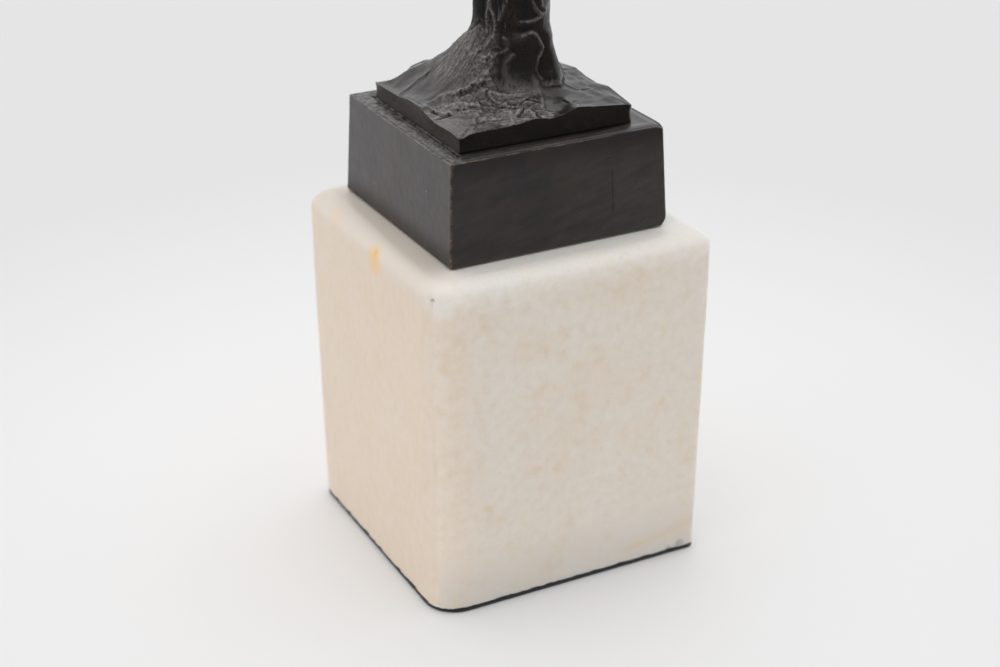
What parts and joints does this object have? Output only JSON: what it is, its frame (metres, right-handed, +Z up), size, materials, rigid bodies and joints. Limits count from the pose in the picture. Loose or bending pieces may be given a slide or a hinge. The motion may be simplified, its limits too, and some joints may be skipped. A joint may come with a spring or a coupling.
{
  "type": "display plinth",
  "caption": "Felt-padded stone block carrying a swivelling dark bronze block with a rocky bronze ground and tree-trunk foot, a base for a small sculpture.",
  "frame": {"origin": "on the vertical stud's axis, at the underside of the felt pad", "axes": "+Z up along the stud; -Y is the wide face nearest the camera, -X the face at its left"},
  "size_m": [0.0994, 0.0981, 0.1929],
  "materials": {
    "ivory_stone": "honed, translucent ivory stone with ochre veins",
    "black_felt": "pressed felt",
    "dark_bronze": "dark brown-black patina, waxed, with bright worn edges",
    "zinc_steel": "zinc plated",
    "red_fibre": "vulcanised fibre"
  },
  "bodies": {
    "stone_base": {"stone_block": "ivory_stone", "felt_pad": "black_felt", "fibre_washer": "red_fibre"},
    "bronze_top": {"bronze_block": "dark_bronze", "ground_casting": "dark_bronze", "centre_stud": "zinc_steel", "clamp_nut": "zinc_steel", "spring_washer": "zinc_steel", "penny_washer": "zinc_steel", "bridge_bar": "zinc_steel", "jam_nut": "zinc_steel", "bridge_screw_1": "zinc_steel", "bridge_screw_2": "zinc_steel", "ground_screw_1": "zinc_steel", "ground_screw_2": "zinc_steel", "ground_screw_3": "zinc_steel", "ground_screw_4": "zinc_steel", "ground_washer_1": "zinc_steel", "ground_washer_2": "zinc_steel", "ground_washer_3": "zinc_steel", "ground_washer_4": "zinc_steel"}
  },
  "joints": [
    {"name": "bronze_swivel", "type": "hinge", "parent": "stone_base", "child": "bronze_top", "pos_m": [0, 0, 0.1165], "axis": [0, 0, 1], "continuous": true}
  ]
}
